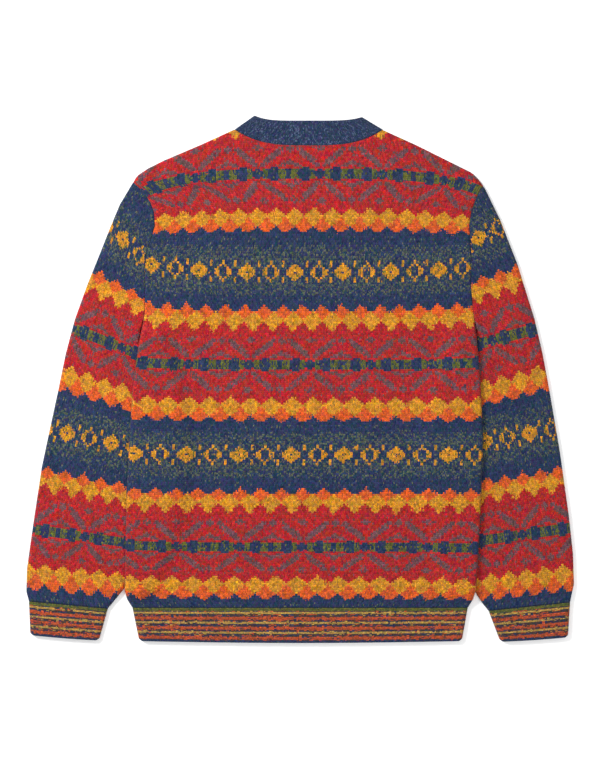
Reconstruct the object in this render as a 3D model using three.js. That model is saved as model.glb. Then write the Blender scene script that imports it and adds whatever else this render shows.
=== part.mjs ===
import * as THREE from 'three';

// Fair isle jumper, laid flat on its front with its back up.
// Millimetres. X runs to the right, Y to the neck, and Z up from the surface that it lies on.

// Cloth
const WALL = 2.2;
const SEAM = 0.3;
const AIR = 1.0;
const TWO_LAYERS = 2 * WALL + AIR;
const HALF_WALL = WALL / 2;

// Height of the middle of each layer, and of the fold between them
const UPPER_MIDDLE = TWO_LAYERS - HALF_WALL;
const LOWER_MIDDLE = HALF_WALL;
const FOLD_MIDDLE = TWO_LAYERS / 2;

// A fold in one piece, and a fold where two sewn edges meet
const FOLD_RADIUS = FOLD_MIDDLE - HALF_WALL;
const FOLD_REACH = FOLD_RADIUS + HALF_WALL;
const SEWN_RADIUS = FOLD_RADIUS - SEAM / 2;
const SEWN_REACH = SEWN_RADIUS + HALF_WALL;

// Body
const WELT_TOP = -298;
const UNDERARM = 85;
const BODY_SIDES = [
  { y: -298, left: -219.5, right: 218.5 },
  { y: -287, left: -226, right: 225 },
  { y: -275, left: -229, right: 228.3 },
  { y: -240, left: -228.5, right: 231 },
  { y: -200, left: -227.5, right: 233 },
  { y: -145, left: -226.5, right: 235.5 },
  { y: -77, left: -222.7, right: 238 },
  { y: -17, left: -219, right: 235 },
  { y: 25, left: -213.8, right: 232 },
  { y: 54, left: -209.2, right: 229.6 },
  { y: 70, left: -206, right: 227.6 },
  { y: 85, left: -203, right: 225.5 },
  { y: 120, left: -202.7, right: 222.3 },
  { y: 145, left: -202.6, right: 222.4 },
  { y: 165, left: -200.5, right: 222.8 },
  { y: 183, left: -194.5, right: 221.2 },
  { y: 200, left: -189.7, right: 219.8 },
  { y: 218, left: -191, right: 222.5 },
  { y: 230, left: -195.5, right: 226.6 },
  { y: 243, left: -203.5, right: 232.5 },
  { y: 257, left: -218.4, right: 242 },
];
const LEFT_SHOULDER = [
  { x: -220, y: 253.5 },
  { x: -213.4, y: 265.2 },
  { x: -198.4, y: 275.2 },
  { x: -178.4, y: 285.1 },
  { x: -128.4, y: 306.4 },
  { x: -85.5, y: 326 },
];
const RIGHT_SHOULDER = [
  { x: 107.5, y: 325 },
  { x: 151.2, y: 305.2 },
  { x: 192.5, y: 284.6 },
  { x: 223.6, y: 269.2 },
  { x: 233.9, y: 258.7 },
  { x: 241, y: 248 },
];

// Neck
const NECK_MIDDLE = 11;
const NECK_HALF_WIDTH = 96.5;
const NECK_TOP = 325.5;
const BACK_NECK_DROP = 20.6;
const BACK_NECK_ROUNDNESS = 3.2;
const FRONT_NECK_DROP = 75;
const BAND_LEFT_PEAK = { x: -60.1, y: 343.9 };
const BAND_RIGHT_PEAK = { x: 80.3, y: 341.9 };
const BAND_BACK_TOP = 337.1;
const BAND_FRONT_INNER_DROP = 61;
const CORNER_CLEARANCE = 1.6;

// Where the body lies on the sleeves it is lifted by their two layers
const LIFT = TWO_LAYERS + 2 * SEAM;
const LIFT_STARTS = 84;
const LIFT_FULL_FROM = 54;
const LIFT_FULL_TO = -275;
const LIFT_ENDS = -297;
const LIFT_MARGIN = 24;
const LIFT_SLOPE = 30;

// Sleeves, from the shoulder tip to the cuff: the outer fold, and the inner edge under the body
const LEFT_OUTER = [
  { x: -219, y: 256 },
  { x: -235.9, y: 227.6 },
  { x: -248.4, y: 197.7 },
  { x: -261.2, y: 165.2 },
  { x: -278.3, y: 122.9 },
  { x: -294.5, y: 77.7 },
  { x: -306.4, y: 32.9 },
  { x: -316.6, y: -17.1 },
  { x: -326.4, y: -62 },
  { x: -337.6, y: -115 },
  { x: -348.8, y: -189.8 },
  { x: -356.9, y: -247.2 },
  { x: -357.7, y: -277.1 },
  { x: -354.3, y: -289.8 },
];
const LEFT_INNER = [
  { x: -203.3, y: 84 },
  { x: -207.2, y: 68 },
  { x: -211.2, y: 49 },
  { x: -204, y: 20 },
  { x: -191, y: -20 },
  { x: -184, y: -70 },
  { x: -185, y: -120 },
  { x: -193, y: -175 },
  { x: -207, y: -225 },
  { x: -230, y: -273.3 },
  { x: -243, y: -289 },
  { x: -251.4, y: -299.3 },
];
const RIGHT_OUTER = [
  { x: 240, y: 250 },
  { x: 260.5, y: 207.8 },
  { x: 283, y: 150.3 },
  { x: 305.5, y: 77.8 },
  { x: 315.5, y: 35 },
  { x: 323, y: -4.6 },
  { x: 330.8, y: -50 },
  { x: 338.6, y: -96 },
  { x: 350, y: -177.2 },
  { x: 355.5, y: -227.1 },
  { x: 356.8, y: -267.2 },
  { x: 351.7, y: -291 },
];
const RIGHT_INNER = [
  { x: 226, y: 80 },
  { x: 229.5, y: 66 },
  { x: 232.4, y: 49 },
  { x: 222, y: 20 },
  { x: 205, y: -20 },
  { x: 198, y: -70 },
  { x: 199, y: -120 },
  { x: 207, y: -175 },
  { x: 216, y: -225 },
  { x: 229, y: -279.6 },
  { x: 238, y: -293 },
  { x: 245.5, y: -302.1 },
];

// Striped bands at the hem and the wrists: their ridges run round the band
const RIDGES = 7;
const RIDGE_HEIGHT = 0.6;
const CORNER_ROUNDING = 3;
const WELT_CORNERS = {
  topLeft: { x: -219.2, y: -298.3 },
  topRight: { x: 218.2, y: -298.3 },
  bottomLeft: { x: -210.3, y: -341.5 },
  bottomRight: { x: 210.5, y: -341.5 },
  sag: 2.4,
};
const LEFT_CUFF_CORNERS = {
  topLeft: { x: -354.3, y: -290.1 },
  topRight: { x: -251.4, y: -299.6 },
  bottomLeft: { x: -352.4, y: -334 },
  bottomRight: { x: -262.8, y: -340.5 },
  sag: 0.6,
};
const RIGHT_CUFF_CORNERS = {
  topLeft: { x: 245.5, y: -302.4 },
  topRight: { x: 351.7, y: -291.3 },
  bottomLeft: { x: 260.7, y: -342.3 },
  bottomRight: { x: 349, y: -336.8 },
  sag: 0.6,
};

// Soft swells of the upper layer. Angle 0 runs along X, and the height fades to nothing at both ends.
const BODY_SWELLS = [
  { x: -130, y: 105, angle: 28, length: 170, width: 17, height: 1.3 },
  { x: 150, y: 120, angle: 148, length: 150, width: 15, height: 1.2 },
  { x: -60, y: -70, angle: 12, length: 230, width: 26, height: 0.9 },
  { x: 95, y: -150, angle: 166, length: 210, width: 24, height: 1.0 },
  { x: -105, y: -215, angle: 8, length: 190, width: 20, height: 0.9 },
  { x: 20, y: 215, angle: 178, length: 220, width: 22, height: 0.8 },
];
const SLEEVE_SWELLS = [
  { x: -262, y: 55, angle: 118, length: 130, width: 13, height: 1.3 },
  { x: -283, y: -95, angle: 12, length: 80, width: 11, height: 1.1 },
  { x: -303, y: -215, angle: 20, length: 90, width: 12, height: 1.2 },
  { x: 272, y: 70, angle: 66, length: 120, width: 13, height: 1.2 },
  { x: 292, y: -120, angle: 165, length: 80, width: 11, height: 1.2 },
  { x: 300, y: -232, angle: 158, length: 85, width: 12, height: 1.1 },
];
const SWELL_EDGE_FADE = 24;

// Below the underarm the side edges roll under. The roll is full this far below it, and gone this near to it.
const ROLL_FULL_BELOW = 20;
const ROLL_GONE_BELOW = 5;

// The neckband's top edge is flat in the middle and rises towards its peaks by this power
const BAND_TOP_SQUARENESS = 5;

// Along a sleeve, as fractions of its length: where its edges have turned square to it, and where the
// bend of the armhole seam has died out. Its sections crowd towards the seam by a power.
const EDGES_TURNED_AT = 0.05;
const SEAM_BEND_GONE_AT = 0.35;
const SECTION_CROWDING = 1.3;

// How finely each piece is divided
const SHOULDER_STEPS = 6;
const NECK_STEPS = 10;
const SLEEVE_STEPS = 15;
const WELT_STEPS = 14;
const CUFF_STEPS = 4;
const BAND_ROWS = 4;
const RIDGE_ROWS = 2 * RIDGES;
const SEWN_ANGLES = [Math.PI / 4, Math.PI / 2];
const FOLD_ANGLES = [Math.PI / 4, Math.PI / 2, (3 * Math.PI) / 4];

function mix(a, b, t) {
  return a + (b - a) * t;
}

// Rises smoothly from 0 to 1 between two values
function ease(from, to, value) {
  const t = Math.min(1, Math.max(0, (value - from) / (to - from)));
  return t * t * (3 - 2 * t);
}

// One column of a table at a place between its rows, which are in rising order
function lookUp(rows, along, column, value) {
  const last = rows.length - 1;
  if (value <= rows[0][along]) return rows[0][column];
  if (value >= rows[last][along]) return rows[last][column];
  let i = 0;
  while (rows[i + 1][along] < value) i += 1;
  const t = (value - rows[i][along]) / (rows[i + 1][along] - rows[i][along]);
  return mix(rows[i][column], rows[i + 1][column], t);
}

function plan(x, y) {
  return new THREE.Vector3(x, y, 0);
}

// The direction from one plan point to another, turned a quarter turn to the left
function leftOf(from, to) {
  const along = new THREE.Vector3().subVectors(to, from).normalize();
  return plan(-along.y, along.x);
}

function curveThrough(rows) {
  return new THREE.CatmullRomCurve3(rows.map((row) => plan(row.x, row.y)), false, 'centripetal');
}

// The body's outline

const leftSide = (y) => lookUp(BODY_SIDES, 'y', 'left', y);
const rightSide = (y) => lookUp(BODY_SIDES, 'y', 'right', y);
const leftCorner = LEFT_SHOULDER[LEFT_SHOULDER.length - 1];
const rightCorner = RIGHT_SHOULDER[0];

function backNeckline(x) {
  const away = Math.min(1, Math.abs(x - NECK_MIDDLE) / NECK_HALF_WIDTH);
  return NECK_TOP - BACK_NECK_DROP * (1 - away ** BACK_NECK_ROUNDNESS);
}

function frontNeckline(x) {
  const away = Math.min(1, Math.abs(x - NECK_MIDDLE) / NECK_HALF_WIDTH);
  return NECK_TOP - FRONT_NECK_DROP * Math.sqrt(1 - away * away);
}

// The height of the top edge: left shoulder, neckline, right shoulder
function topEdge(x, neckline) {
  if (x <= leftCorner.x) return lookUp(LEFT_SHOULDER, 'x', 'y', x);
  if (x >= rightCorner.x) return lookUp(RIGHT_SHOULDER, 'x', 'y', x);
  return neckline(x);
}

// Fractions of the body's width for its columns, closest at the corners of the neck
function bodyColumns() {
  const left = leftSide(NECK_TOP);
  const width = rightSide(NECK_TOP) - left;
  const neckLeft = (leftCorner.x - left) / width;
  const neckRight = (rightCorner.x - left) / width;
  const columns = [];
  for (let i = 0; i < SHOULDER_STEPS; i += 1) columns.push((neckLeft * i) / SHOULDER_STEPS);
  for (let i = 0; i <= NECK_STEPS; i += 1) {
    columns.push(mix(neckLeft, neckRight, (1 - Math.cos((Math.PI * i) / NECK_STEPS)) / 2));
  }
  for (let i = 1; i <= SHOULDER_STEPS; i += 1) columns.push(mix(neckRight, 1, i / SHOULDER_STEPS));
  return columns;
}

// Where a column of the body meets the top edge, found by halving
function columnTop(u, neckline) {
  const HALVINGS = 40;
  let low = UNDERARM;
  let high = NECK_TOP + 1;
  for (let i = 0; i < HALVINGS; i += 1) {
    const y = (low + high) / 2;
    if (y < topEdge(mix(leftSide(y), rightSide(y), u), neckline)) low = y;
    else high = y;
  }
  return plan(mix(leftSide(low), rightSide(low), u), low);
}

// The way that a neck fold looks in plan: square to the line from its corner to the band's peak
const leftNeckFold = leftOf(plan(leftCorner.x, leftCorner.y), plan(BAND_LEFT_PEAK.x, BAND_LEFT_PEAK.y));
const rightNeckFold = leftOf(plan(BAND_RIGHT_PEAK.x, BAND_RIGHT_PEAK.y), plan(rightCorner.x, rightCorner.y));

// The top edge of a panel, column by column, with the way that each point looks
function panelTop(neckline) {
  const columns = bodyColumns();
  const points = columns.map((u) => columnTop(u, neckline));
  const last = points.length - 1;
  const neckFrom = SHOULDER_STEPS;
  const neckTo = SHOULDER_STEPS + NECK_STEPS;
  const tipDirection = (side, tip) => plan(side(tip.y) - side(tip.y - 1), 1).normalize();
  return points.map((point, i) => {
    let away = leftOf(points[Math.max(0, i - 1)], points[Math.min(last, i + 1)]);
    if (i === 0) away = tipDirection(leftSide, point);
    if (i === neckFrom) away = leftNeckFold;
    if (i === neckTo) away = rightNeckFold;
    if (i === last) away = tipDirection(rightSide, point);
    const atNeck = i > neckFrom && i < neckTo;
    const outline = point.clone().addScaledVector(away, atNeck ? -SEAM : 0);
    const base = outline.clone().addScaledVector(away, -SEWN_REACH);
    return { u: columns[i], point, base, away, roll: atNeck ? 0 : 1 };
  });
}

const backTop = panelTop(backNeckline);
const frontTop = panelTop(frontNeckline);

// Fractions of the body's height for its rows: one for each row of the table of sides that isn't too
// near the top, and one at the top
const LAST_TABLE_ROW = 0.99;
const bodyHeight = backTop[0].base.y - WELT_TOP;
const tableRows = BODY_SIDES.map((row) => (row.y - WELT_TOP) / bodyHeight);
const bodyRows = [...tableRows.filter((v) => v < LAST_TABLE_ROW), 1];

// Heights

// The hidden edge of a sleeve at a height, from a table that runs down the sleeve
function hiddenEdge(rows, y) {
  return lookUp([...rows].reverse(), 'y', 'x', y);
}

// How far the body is lifted by the sleeve under its side
function bodyLift(x, y) {
  const along = ease(LIFT_ENDS, LIFT_FULL_TO, y) * (1 - ease(LIFT_FULL_FROM, LIFT_STARTS, y));
  const fromLeft = x - hiddenEdge(LEFT_INNER, y) - LIFT_MARGIN;
  const fromRight = hiddenEdge(RIGHT_INNER, y) - x - LIFT_MARGIN;
  return LIFT * along * (1 - ease(0, LIFT_SLOPE, Math.min(fromLeft, fromRight)));
}

function swellHeight(swells, x, y) {
  let height = 0;
  for (const swell of swells) {
    const turn = THREE.MathUtils.degToRad(swell.angle);
    const along = (x - swell.x) * Math.cos(turn) + (y - swell.y) * Math.sin(turn);
    const across = (y - swell.y) * Math.cos(turn) - (x - swell.x) * Math.sin(turn);
    const ends = Math.max(0, 1 - ((2 * along) / swell.length) ** 2);
    height += swell.height * ends * ends * Math.exp(-((across / swell.width) ** 2));
  }
  return height;
}

function bodySwell(x, y) {
  const fromSides = Math.min(x - leftSide(y), rightSide(y) - x);
  const fade = ease(0, SWELL_EDGE_FADE, fromSides) * ease(0, SWELL_EDGE_FADE, y - WELT_TOP);
  return fade * swellHeight(BODY_SWELLS, x, y);
}

function sleeveSwell(x, y, fromOuter) {
  const fromBody = Math.max(leftSide(y) - x, x - rightSide(y));
  const fade = ease(0, SWELL_EDGE_FADE, fromOuter) * ease(0, SWELL_EDGE_FADE, fromBody);
  return fade * swellHeight(SLEEVE_SWELLS, x, y);
}

// Walls

// A place in the middle of the cloth. Its normal is the way that the outer face looks.
function place(x, y, z, normal) {
  return { point: new THREE.Vector3(x, y, z), normal };
}

const layerNormal = (side) => new THREE.Vector3(0, 0, side);

// From the base of a sewn edge out towards the seam. Roll 1 turns to the other layer, roll 0 stays flat.
function sewnEdge(base, away, roll, angle) {
  const side = base.normal.z;
  const reach = mix((SEWN_REACH * angle) / (Math.PI / 2), SEWN_RADIUS * Math.sin(angle), roll);
  const point = base.point.clone().addScaledVector(away, reach);
  point.z -= side * roll * SEWN_RADIUS * (1 - Math.cos(angle));
  const normal = layerNormal(side * Math.cos(angle * roll)).addScaledVector(away, Math.sin(angle * roll));
  return { point, normal };
}

// Round a fold of one piece, from the upper layer at angle 0 to the lower one at a half turn
function foldPlace(base, away, angle) {
  const point = plan(base.x, base.y).addScaledVector(away, FOLD_RADIUS * Math.sin(angle));
  point.z = FOLD_MIDDLE + FOLD_RADIUS * Math.cos(angle);
  const normal = layerNormal(Math.cos(angle)).addScaledVector(away, Math.sin(angle));
  return { point, normal };
}

function outerPoint(at, raised = 0) {
  return at.point.clone().addScaledVector(at.normal, HALF_WALL + raised);
}

function innerPoint(at) {
  return at.point.clone().addScaledVector(at.normal, -HALF_WALL);
}

// Joins closed loops of points into one surface, and turns it so that it looks out.
// A ring's last loop meets its first. Any other wall is capped between its outer and inner points.
function solidFromLoops(loops, isRing) {
  const size = loops[0].length;
  const positions = loops.flat().flatMap((point) => [point.x, point.y, point.z]);
  const triangles = [];
  const quad = (a, b, c, d) => triangles.push([a, b, c], [a, c, d]);
  const joins = isRing ? loops.length : loops.length - 1;
  for (let j = 0; j < joins; j += 1) {
    const here = j * size;
    const next = ((j + 1) % loops.length) * size;
    for (let i = 0; i < size; i += 1) {
      const after = (i + 1) % size;
      quad(here + i, here + after, next + after, next + i);
    }
  }
  if (!isRing) {
    const end = (loops.length - 1) * size;
    for (let i = 0; i < size / 2 - 1; i += 1) {
      quad(i + 1, i, size - 1 - i, size - 2 - i);
      quad(end + i, end + i + 1, end + size - 2 - i, end + size - 1 - i);
    }
  }
  const corner = (n) => new THREE.Vector3().fromArray(positions, 3 * n);
  const signedVolume = ([a, b, c]) => corner(a).dot(corner(b).cross(corner(c)));
  const volume = triangles.reduce((sum, triangle) => sum + signedVolume(triangle), 0);
  if (volume < 0) triangles.forEach((triangle) => triangle.reverse());
  const geometry = new THREE.BufferGeometry();
  geometry.setAttribute('position', new THREE.Float32BufferAttribute(positions, 3));
  geometry.setIndex(triangles.flat());
  geometry.computeVertexNormals();
  return geometry;
}

// The section of a wall: its outer points, then its inner ones on the way back
function sectionOf(places) {
  return [...places.map((at) => outerPoint(at)), ...places.map(innerPoint).reverse()];
}

// Front and back

// One panel of the body. Side 1 is the upper layer, and side -1 the lower one.
function bodyPanel(top, side) {
  const middle = side > 0 ? UPPER_MIDDLE : LOWER_MIDDLE;
  const last = top.length - 1;
  const at = (x, y) => {
    const swell = side > 0 ? bodySwell(x, y) : 0;
    return place(x, y, middle + bodyLift(x, y) + swell, layerNormal(side));
  };
  const sideEdge = (v, end, sideOf, away) => {
    const y = mix(WELT_TOP, end.base.y, v);
    const roll = 1 - ease(UNDERARM - ROLL_FULL_BELOW, UNDERARM - ROLL_GONE_BELOW, y);
    const base = at(sideOf(y) - SEWN_REACH * away.x, y);
    return [base, ...SEWN_ANGLES.map((angle) => sewnEdge(base, away, roll, angle))];
  };
  // A column leans more and more towards its place at the top
  const inside = (v, { u, base }) => {
    const straightX = mix(leftSide(base.y), rightSide(base.y), u);
    const lean = v * v * (base.x - straightX);
    const y = mix(WELT_TOP, base.y, v);
    return at(mix(leftSide(y), rightSide(y), u) + lean, y);
  };
  const rows = bodyRows.map((v) => [
    ...sideEdge(v, top[0], leftSide, plan(-1, 0)).reverse(),
    ...top.slice(1, last).map((column) => inside(v, column)),
    ...sideEdge(v, top[last], rightSide, plan(1, 0)),
  ]);
  const sideColumns = SEWN_ANGLES.length;
  const topOf = (i) => top[Math.min(last, Math.max(0, i - sideColumns))];
  const topRow = rows[rows.length - 1];
  for (const angle of SEWN_ANGLES) {
    rows.push(topRow.map((base, i) => sewnEdge(base, topOf(i).away, topOf(i).roll, angle)));
  }
  return solidFromLoops(rows.map(sectionOf), false);
}

// The seam of an armhole in plan, from the shoulder tip down to the underarm
function armholeSeam(end, sideOf) {
  const underarmRow = BODY_SIDES.findIndex((row) => row.y === UNDERARM);
  const seam = [end.point];
  for (let j = bodyRows.length - 2; j >= underarmRow; j -= 1) {
    const y = mix(WELT_TOP, end.base.y, bodyRows[j]);
    seam.push(plan(sideOf(y), y));
  }
  return seam;
}

// Sleeves

// One sheet from the inner edge over the upper layer, round the outer fold and back underneath.
// Outward is -1 for the left sleeve and 1 for the right one.
function sleeve({ seam, outer, inner, outward }) {
  const last = seam.length - 1;
  const aside = seam.map((point, i) => {
    const left = leftOf(seam[Math.max(0, i - 1)], seam[Math.min(last, i + 1)]);
    return point.clone().addScaledVector(left, outward * SEAM);
  });
  const tip = aside[0];
  const underarm = aside[last];
  const lengths = aside.map((point, i) => (i ? point.distanceTo(aside[i - 1]) : 0));
  const total = lengths.reduce((sum, length) => sum + length);
  let run = 0;
  const across = lengths.map((length) => (run += length) / total);
  const bend = aside.map((point, i) => point.clone().sub(tip.clone().lerp(underarm, across[i])));
  const outerCurve = curveThrough([tip, ...outer.slice(1)]);
  const innerCurve = curveThrough([underarm, ...inner.slice(1)]);
  const seamEnds = {
    tip: tip.clone().sub(aside[1]).normalize(),
    underarm: underarm.clone().sub(aside[last - 1]).normalize(),
  };

  const sections = [];
  for (let k = 0; k <= SLEEVE_STEPS; k += 1) {
    const v = (k / SLEEVE_STEPS) ** SECTION_CROWDING;
    const start = outerCurve.getPointAt(v);
    const stop = innerCurve.getPointAt(v);
    const turned = ease(0, EDGES_TURNED_AT, v);
    const chord = start.clone().sub(stop).normalize();
    const outerAway = chord.clone().lerp(seamEnds.tip, 1 - turned).normalize();
    const innerAway = chord.clone().negate().lerp(seamEnds.underarm, 1 - turned).normalize();
    const fade = 1 - ease(0, SEAM_BEND_GONE_AT, v);
    const foldBase = start.clone().addScaledVector(outerAway, -FOLD_REACH);
    const edgeBase = stop.clone().addScaledVector(innerAway, -SEWN_REACH);
    const between = across.slice(1, last).map((u, i) => {
      return start.clone().lerp(stop, u).addScaledVector(bend[i + 1], fade);
    });
    const line = [foldBase, ...between, edgeBase];
    const upper = line.map((point) => {
      const swell = sleeveSwell(point.x, point.y, point.distanceTo(start)) * turned;
      return place(point.x, point.y, UPPER_MIDDLE + swell, layerNormal(1));
    });
    const lower = line.map((point) => place(point.x, point.y, LOWER_MIDDLE, layerNormal(-1)));
    const edge = (base) => SEWN_ANGLES.map((angle) => sewnEdge(base, innerAway, turned, angle));
    sections.push(sectionOf([
      ...edge(upper[last]).reverse(),
      ...upper.reverse(),
      ...FOLD_ANGLES.map((angle) => foldPlace(foldBase, outerAway, angle)),
      ...lower,
      ...edge(lower[last]),
    ]));
  }
  return solidFromLoops(sections, false);
}

// Bands

// The middle of a flattened band, station by station: the upper layer from left to right, the right
// fold, the lower layer back, and the left fold. Each station is a line of places across the band.
function bandStations(upper, lower, leftAway, rightAway) {
  const last = upper.length - 1;
  const inset = (line, away) => line.map((point) => point.clone().addScaledVector(away, -FOLD_REACH));
  const layer = (lines, z, side) => lines.map((line, i) => {
    let moved = line;
    if (i === 0) moved = inset(line, leftAway);
    if (i === last) moved = inset(line, rightAway);
    return moved.map((point) => place(point.x, point.y, z, layerNormal(side)));
  });
  const fold = (line, away, angles) => angles.map((angle) => {
    return inset(line, away).map((base) => foldPlace(base, away, angle));
  });
  return [
    ...layer(upper, UPPER_MIDDLE, 1),
    ...fold(upper[last], rightAway, FOLD_ANGLES),
    ...layer(lower, LOWER_MIDDLE, -1).reverse(),
    ...fold(upper[0], leftAway, [...FOLD_ANGLES].reverse()),
  ];
}

// The neckband: the back part stands up from the back neckline, the front part hangs down behind it
function neckband() {
  const bandTop = (x) => {
    const middle = (BAND_LEFT_PEAK.x + BAND_RIGHT_PEAK.x) / 2;
    const away = Math.abs(x - middle) / (BAND_RIGHT_PEAK.x - middle);
    const peak = x < middle ? BAND_LEFT_PEAK.y : BAND_RIGHT_PEAK.y;
    return mix(BAND_BACK_TOP, peak, Math.min(1, away) ** BAND_TOP_SQUARENESS);
  };
  const lines = (top, innerY) => {
    const neck = top.slice(SHOULDER_STEPS, SHOULDER_STEPS + NECK_STEPS + 1);
    return neck.map(({ point }, i) => {
      const turn = (Math.PI * i) / NECK_STEPS;
      const x = mix(BAND_LEFT_PEAK.x, BAND_RIGHT_PEAK.x, (1 - Math.cos(turn)) / 2);
      const end = plan(x, innerY(x, turn));
      const start = point.clone();
      if (i === 0 || i === NECK_STEPS) {
        start.addScaledVector(end.clone().sub(start).normalize(), CORNER_CLEARANCE);
      }
      return Array.from({ length: BAND_ROWS + 1 }, (_, row) => start.clone().lerp(end, row / BAND_ROWS));
    });
  };
  const frontInner = (x, turn) => {
    const peaks = mix(BAND_LEFT_PEAK.y, BAND_RIGHT_PEAK.y, (1 - Math.cos(turn)) / 2);
    return peaks - BAND_FRONT_INNER_DROP * Math.sin(turn);
  };
  const upper = lines(backTop, bandTop);
  const lower = lines(frontTop, frontInner);
  const stations = bandStations(upper, lower, leftNeckFold, rightNeckFold);
  return solidFromLoops(stations.map(sectionOf), true);
}

// A striped band between four corners, with its ridges raised on what doesn't rest on the surface
function ridgedBand({ topLeft, topRight, bottomLeft, bottomRight, sag }, steps) {
  const line = (u) => Array.from({ length: RIDGE_ROWS + 1 }, (_, row) => {
    const w = row / RIDGE_ROWS;
    const cornerInset = row === 0 ? CORNER_ROUNDING : 0;
    const left = mix(bottomLeft.x, topLeft.x, w) + cornerInset;
    const right = mix(bottomRight.x, topRight.x, w) - cornerInset;
    const bottom = mix(bottomLeft.y, bottomRight.y, u) - sag * Math.sin(Math.PI * u);
    return plan(mix(left, right, u), mix(bottom, mix(topLeft.y, topRight.y, u), w));
  });
  const lines = Array.from({ length: steps + 1 }, (_, i) => line(i / steps));
  const rightAway = plan(topRight.x - topLeft.x, topRight.y - topLeft.y).normalize();
  const leftAway = rightAway.clone().negate();
  const stations = bandStations(lines, lines, leftAway, rightAway);
  const loops = stations.map((places) => {
    const raised = places.map((at, row) => {
      const onTop = Math.max(0, at.normal.z);
      return outerPoint(at, row % 2 ? RIDGE_HEIGHT * onTop : 0);
    });
    const inside = [places[RIDGE_ROWS], places[RIDGES], places[0]].map(innerPoint);
    return [...raised, ...inside];
  });
  return solidFromLoops(loops, true);
}

// The jumper

const patternWool = new THREE.MeshStandardMaterial({ color: '#a8323a', roughness: 0.95, metalness: 0 });
const navyWool = new THREE.MeshStandardMaterial({ color: '#2c3e68', roughness: 0.95, metalness: 0 });
const stripedWool = new THREE.MeshStandardMaterial({ color: '#a8643c', roughness: 0.95, metalness: 0 });

const jumper = new THREE.Group();

function addPiece(name, geometry, material) {
  const piece = new THREE.Mesh(geometry, material);
  piece.name = name;
  jumper.add(piece);
}

const lastColumn = backTop.length - 1;
const leftSleeve = {
  seam: armholeSeam(backTop[0], leftSide),
  outer: LEFT_OUTER,
  inner: LEFT_INNER,
  outward: -1,
};
const rightSleeve = {
  seam: armholeSeam(backTop[lastColumn], rightSide),
  outer: RIGHT_OUTER,
  inner: RIGHT_INNER,
  outward: 1,
};

addPiece('back', bodyPanel(backTop, 1), patternWool);
addPiece('front', bodyPanel(frontTop, -1), patternWool);
addPiece('sleeve_left', sleeve(leftSleeve), patternWool);
addPiece('sleeve_right', sleeve(rightSleeve), patternWool);
addPiece('neckband', neckband(), navyWool);
addPiece('welt', ridgedBand(WELT_CORNERS, WELT_STEPS), stripedWool);
addPiece('cuff_left', ridgedBand(LEFT_CUFF_CORNERS, CUFF_STEPS), stripedWool);
addPiece('cuff_right', ridgedBand(RIGHT_CUFF_CORNERS, CUFF_STEPS), stripedWool);

export default jumper;
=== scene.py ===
import math

import bpy
import numpy as np
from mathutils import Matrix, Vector


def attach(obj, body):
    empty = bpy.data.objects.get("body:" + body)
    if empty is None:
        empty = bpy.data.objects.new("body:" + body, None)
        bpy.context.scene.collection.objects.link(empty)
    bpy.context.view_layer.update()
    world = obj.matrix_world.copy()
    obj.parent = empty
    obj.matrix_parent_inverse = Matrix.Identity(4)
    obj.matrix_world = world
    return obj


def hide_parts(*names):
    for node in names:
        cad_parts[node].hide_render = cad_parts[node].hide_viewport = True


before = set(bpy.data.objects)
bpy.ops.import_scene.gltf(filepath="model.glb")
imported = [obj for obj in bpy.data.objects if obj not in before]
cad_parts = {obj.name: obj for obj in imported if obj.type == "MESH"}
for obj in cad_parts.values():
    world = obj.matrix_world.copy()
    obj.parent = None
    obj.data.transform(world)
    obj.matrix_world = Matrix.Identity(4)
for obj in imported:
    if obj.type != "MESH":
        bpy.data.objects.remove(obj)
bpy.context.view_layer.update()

MM = 0.001

# Cloth: the wall of the solids, the wall of a knitted shell, the gap at a seam, the air between two layers,
# and the radius that a fold and a sewn edge roll round with
WALL = 2.2
SHELL_WALL = 1.6
SEAM = 0.3
AIR = 1.0
TWO_LAYERS = 2 * WALL + AIR
FOLD_REACH = TWO_LAYERS / 2
SEWN_REACH = FOLD_REACH - SEAM / 2
QUARTER_TURN = math.pi / 2
# An edge that doesn't roll has this radius, and a place far from each fold has this depth
SHARP = 0.001
FAR_IN = 1000.0
# Points of a mesh that are closer than this are one point
WELD = 0.02

# Stitches: how many cross the body, and how wide they are on the sleeves, bands and neck
BODY_STITCHES = 136
SLEEVE_STITCH = 2.95
BAND_STITCH = 3.3
NECK_STITCHES = 104
NECK_ROWS = 16
ROWS_PER_RIDGE = 5
# How often the search for the panels' top edge is halved
HALVINGS = 30

# Body sides: y, left, right. They start to roll under at ROLL_START and do so fully below ROLL_FULL, and
# a sleeve's inner edge rolls under in the rows that end below SLEEVE_ROLL.
WELT_TOP = -298.0
UNDERARM = 85.0
ROLL_START = UNDERARM - 5
ROLL_FULL = UNDERARM - 20
SLEEVE_ROLL = UNDERARM - 10
BODY_SIDES = np.array([
    (-298, -219.5, 218.5),
    (-287, -226, 225),
    (-275, -229, 228.3),
    (-240, -228.5, 231),
    (-200, -227.5, 233),
    (-145, -226.5, 235.5),
    (-77, -222.7, 238),
    (-17, -219, 235),
    (25, -213.8, 232),
    (54, -209.2, 229.6),
    (70, -206, 227.6),
    (85, -203, 225.5),
    (120, -202.7, 222.3),
    (145, -202.6, 222.4),
    (165, -200.5, 222.8),
    (183, -194.5, 221.2),
    (200, -189.7, 219.8),
    (218, -191, 222.5),
    (230, -195.5, 226.6),
    (243, -203.5, 232.5),
    (257, -218.4, 242),
])

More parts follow.
